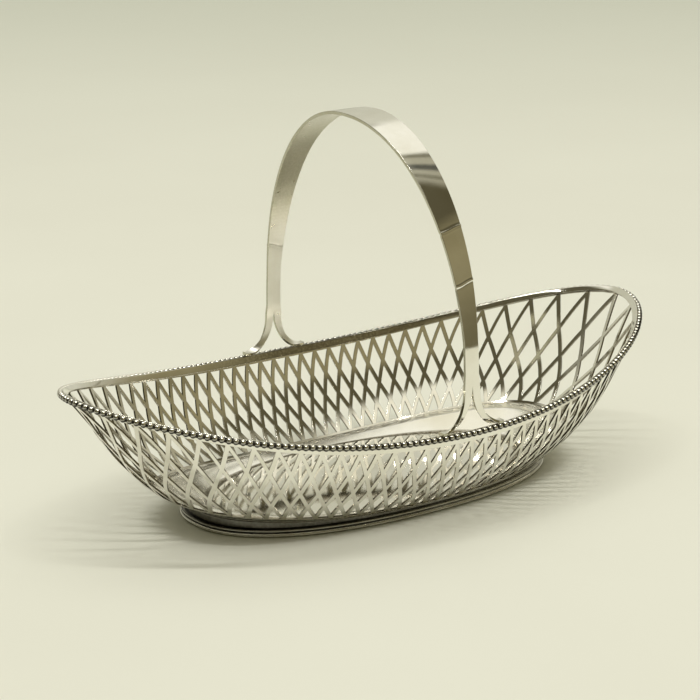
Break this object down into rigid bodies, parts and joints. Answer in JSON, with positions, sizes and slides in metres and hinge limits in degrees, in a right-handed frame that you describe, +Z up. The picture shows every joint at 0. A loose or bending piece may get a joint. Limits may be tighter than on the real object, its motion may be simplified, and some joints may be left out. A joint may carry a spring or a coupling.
{
  "type": "bread basket",
  "caption": "Boat-shaped pierced silver bread basket on a low oval foot, with a beaded rim and a strap handle standing on forked ends",
  "frame": {"origin": "Middle of the underside of the oval foot, on the table", "axes": "+X along the basket to one tip, +Y across it to the far side, +Z up"},
  "size_m": [0.333, 0.171, 0.1869],
  "materials": {
    "silver_pierced": "polished, softened by age",
    "silver_floor": "bright polished",
    "silver_beads": "polished, dark between the beads",
    "silver_foot": "polished with tarnish in the grooves",
    "silver_handle": "polished with fine wear"
  },
  "bodies": {
    "root": {"pierced_side": "silver_pierced", "floor_pan": "silver_floor", "rim_wire": "silver_pierced", "bead_wire_near": "silver_beads", "bead_wire_far": "silver_beads", "foot_band": "silver_foot", "foot_wire": "silver_foot", "handle_strap": "silver_handle"}
  },
  "joints": []
}
